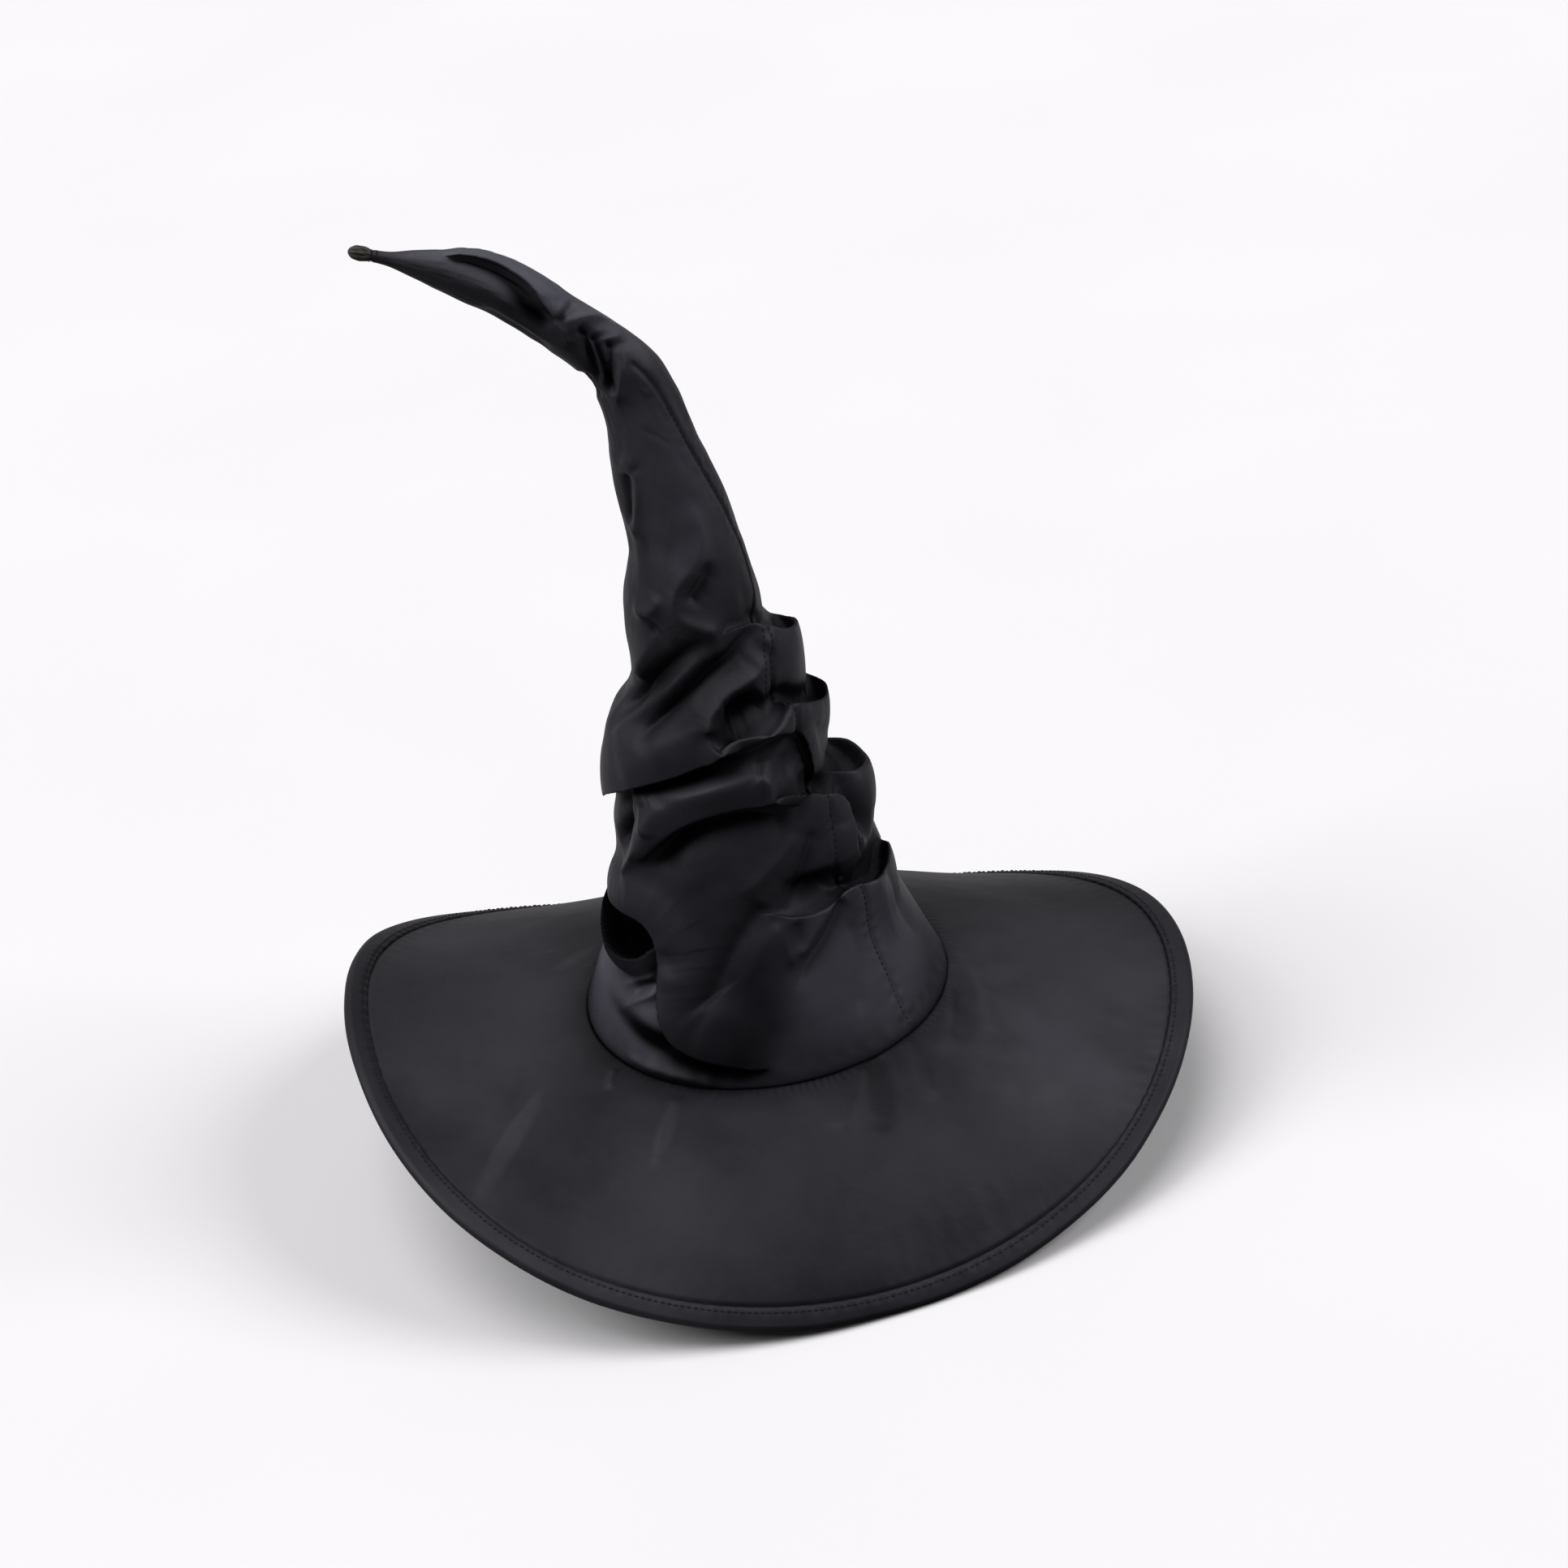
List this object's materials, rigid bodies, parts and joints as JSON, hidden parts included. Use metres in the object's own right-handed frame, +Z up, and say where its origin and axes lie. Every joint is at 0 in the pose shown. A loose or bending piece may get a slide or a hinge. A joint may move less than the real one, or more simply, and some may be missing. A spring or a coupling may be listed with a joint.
{
  "type": "witch hat",
  "caption": "Crooked witch hat: a ruched satin cone on a bendable wire over a wide drooping foam-stiffened brim with a wired, bound edge.",
  "frame": {"origin": "middle of the head opening, in the plane of the seam between crown and brim", "axes": "+Z up out of the crown, -Z out of the head opening towards the wearer, -Y the front of the hat, +X the wearer's left, and the tip leans to -X"},
  "size_m": [0.4376, 0.3985, 0.4991],
  "materials": {
    "satin": "black polyester satin, soft sheen",
    "lining": "black thin woven lining",
    "ribbon": "black ribbed grosgrain ribbon",
    "thread": "black polyester thread",
    "padding": "dark grey needled wadding",
    "label": "off-white woven tape, blank",
    "wire": "annealed steel wire"
  },
  "bodies": {
    "crown": {"brim_top_panel": "satin", "brim_foam_sheet": "padding", "brim_under_panel": "satin", "brim_edge_binding": "satin", "brim_wire": "wire", "brim_wire_sleeve": "wire", "crown_cover": "satin", "crown_stiffener": "padding", "crown_lining": "lining", "sweatband": "ribbon", "crown_seam_tape": "ribbon", "blank_label": "label", "pleat_tack_1": "thread", "pleat_tack_2": "thread", "pleat_tack_3": "thread", "pleat_tack_4": "thread", "wire_base_plate": "wire", "cone_wire_lower": "wire"},
    "cone": {"cone_cover": "satin", "cone_wire_middle": "wire"},
    "tip": {"tip_cover": "satin", "cone_wire_upper": "wire", "tip_knot": "satin"}
  },
  "joints": [
    {"name": "cone_bend", "type": "hinge", "parent": "crown", "child": "cone", "pos_m": [-0.0083, 0, 0.2398], "axis": [0, 1, 0], "range_deg": [-15, 15]},
    {"name": "tip_bend", "type": "hinge", "parent": "cone", "child": "tip", "pos_m": [-0.0302, 0, 0.3545], "axis": [0, 1, 0], "range_deg": [-30, 30]}
  ]
}
